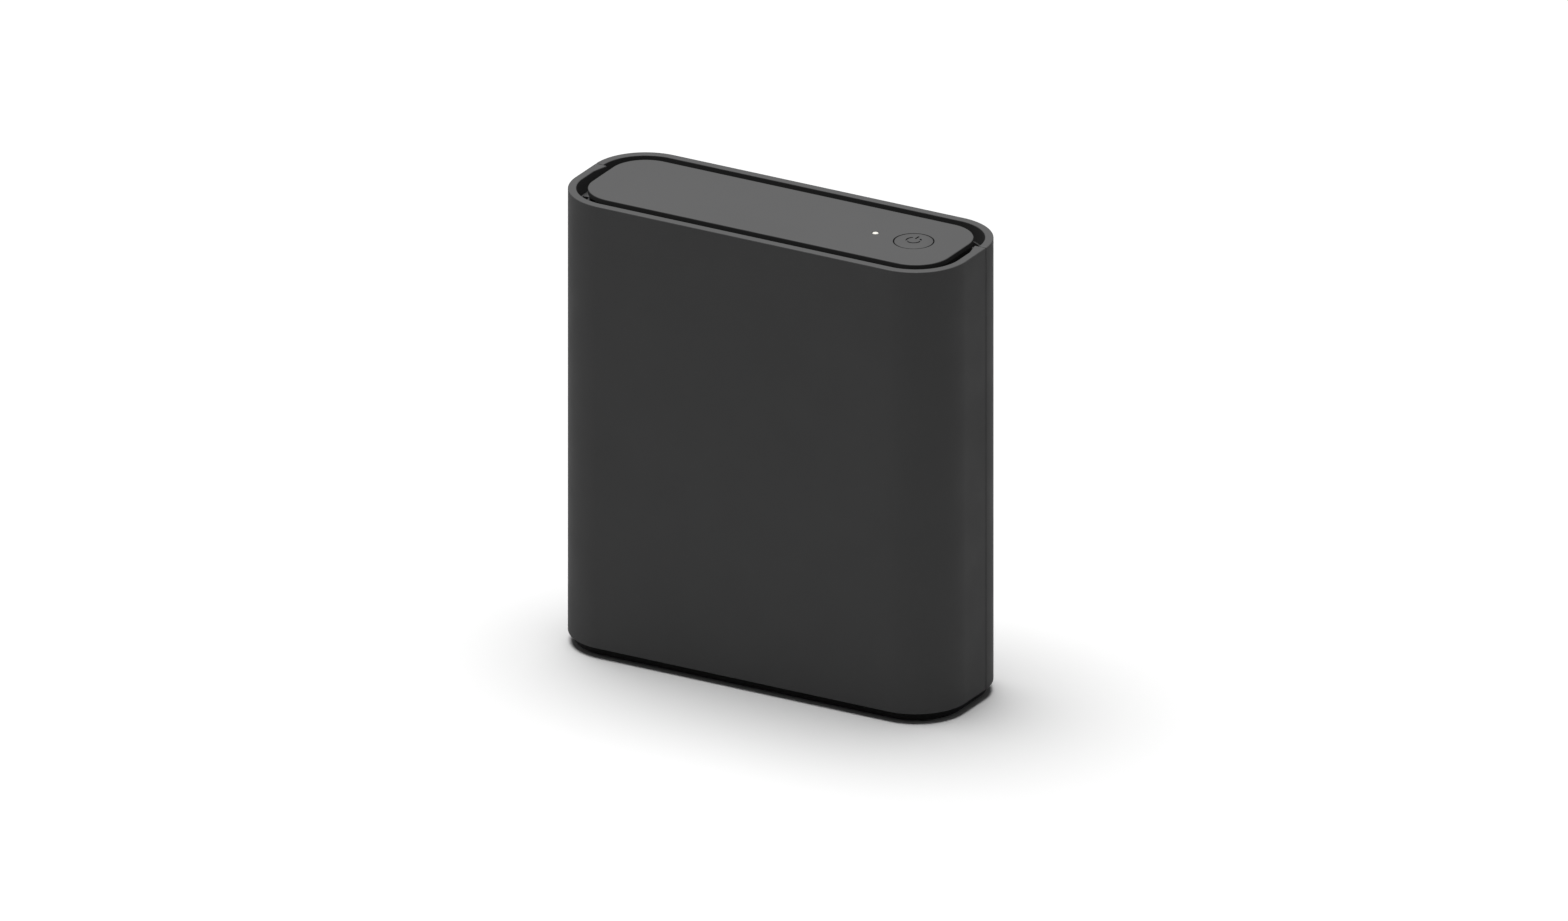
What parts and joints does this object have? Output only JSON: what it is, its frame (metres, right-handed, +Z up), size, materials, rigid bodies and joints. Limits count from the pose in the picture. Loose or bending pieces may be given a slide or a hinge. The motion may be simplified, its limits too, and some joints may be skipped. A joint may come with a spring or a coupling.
{
  "type": "cable modem",
  "caption": "Upright desktop cable modem: rounded grey case with a vent gap round its top plate, a round power button and a status light, and a port recess at the back.",
  "frame": {"origin": "on the surface it stands on, under the middle of the box", "axes": "+Z up; -Y out of the broad front face, so the ports face +Y; +X to the right as seen from the front, towards the power button's end"},
  "size_m": [0.14, 0.0488, 0.153],
  "materials": {
    "casing": "fine-grained dark grey moulded plastic",
    "plinth": "near-black moulded plastic",
    "trim": "black moulded plastic",
    "rubber": "matt black rubber",
    "label": "blank off-white polyester label",
    "lens": "clear plastic that carries a warm white light",
    "board": "green solder mask on glass-epoxy laminate",
    "chip": "black moulding compound",
    "pad": "soft blue-grey thermal pad",
    "aluminium": "extruded aluminium",
    "tin": "tin-plated steel sheet",
    "steel": "zinc-plated steel",
    "gold": "gold-plated phosphor bronze",
    "nickel": "nickel-plated zinc",
    "nylon": "natural white nylon",
    "jack": "black glass-filled polyester"
  },
  "bodies": {
    "case": {"base_screw_1": "steel", "base_screw_2": "steel", "base_screw_3": "steel", "base_screw_4": "steel", "board_screw_1": "steel", "board_screw_2": "steel", "board_screw_3": "steel", "board_screw_4": "steel", "bulk_capacitor_1": "aluminium", "bulk_capacitor_2": "aluminium", "chip_thermal_pad": "pad", "coax_connector": "nickel", "coax_contact": "gold", "coax_insulator": "nylon", "coax_nut": "nickel", "crystal": "tin", "ethernet_contacts_1": "gold", "ethernet_contacts_2": "gold", "ethernet_jack_1": "jack", "ethernet_jack_2": "jack", "ethernet_phy_chip": "chip", "ethernet_shield_1": "tin", "ethernet_shield_2": "tin", "ethernet_transformer": "chip", "flash_chip": "chip", "front_shell": "casing", "heat_sink": "aluminium", "heat_sink_pin_1": "nylon", "heat_sink_pin_2": "nylon", "heat_sink_spring_1": "steel", "heat_sink_spring_2": "steel", "light_pipe": "lens", "main_board": "board", "memory_chip": "chip", "modem_chip": "chip", "plinth": "plinth", "port_tray": "trim", "power_inductor": "chip", "power_jack": "jack", "power_jack_pin": "nickel", "power_switch_body": "chip", "rating_label": "label", "rear_heat_sink": "aluminium", "rear_shell": "casing", "rear_thermal_pad": "pad", "reset_switch_body": "chip", "rubber_foot_1": "rubber", "rubber_foot_2": "rubber", "rubber_foot_3": "rubber", "rubber_foot_4": "rubber", "status_led": "lens", "top_plate": "casing", "tuner_chip": "chip", "tuner_shield_frame": "tin", "tuner_shield_lid": "tin", "vent_ring": "trim"},
    "power_button": {"power_button": "casing"},
    "power_switch_plunger": {"power_switch_plunger": "nylon"},
    "reset_switch_plunger": {"reset_switch_plunger": "nylon"}
  },
  "joints": [
    {"name": "power_button_press", "type": "slide", "parent": "case", "child": "power_button", "axis": [0, 0, -1], "range_m": [0, 0.0005], "stiffness_N_per_m": 3000, "springref_m": -0.0001},
    {"name": "power_switch_travel", "type": "slide", "parent": "case", "child": "power_switch_plunger", "axis": [0, 0, -1], "range_m": [0, 0.0005]},
    {"name": "reset_switch_press", "type": "slide", "parent": "case", "child": "reset_switch_plunger", "axis": [0, -1, 0], "range_m": [0, 0.0005], "stiffness_N_per_m": 3000, "springref_m": -0.0001}
  ],
  "couplings": [
    {"joint": "power_switch_travel", "follows": "power_button_press", "ratio": 1}
  ]
}
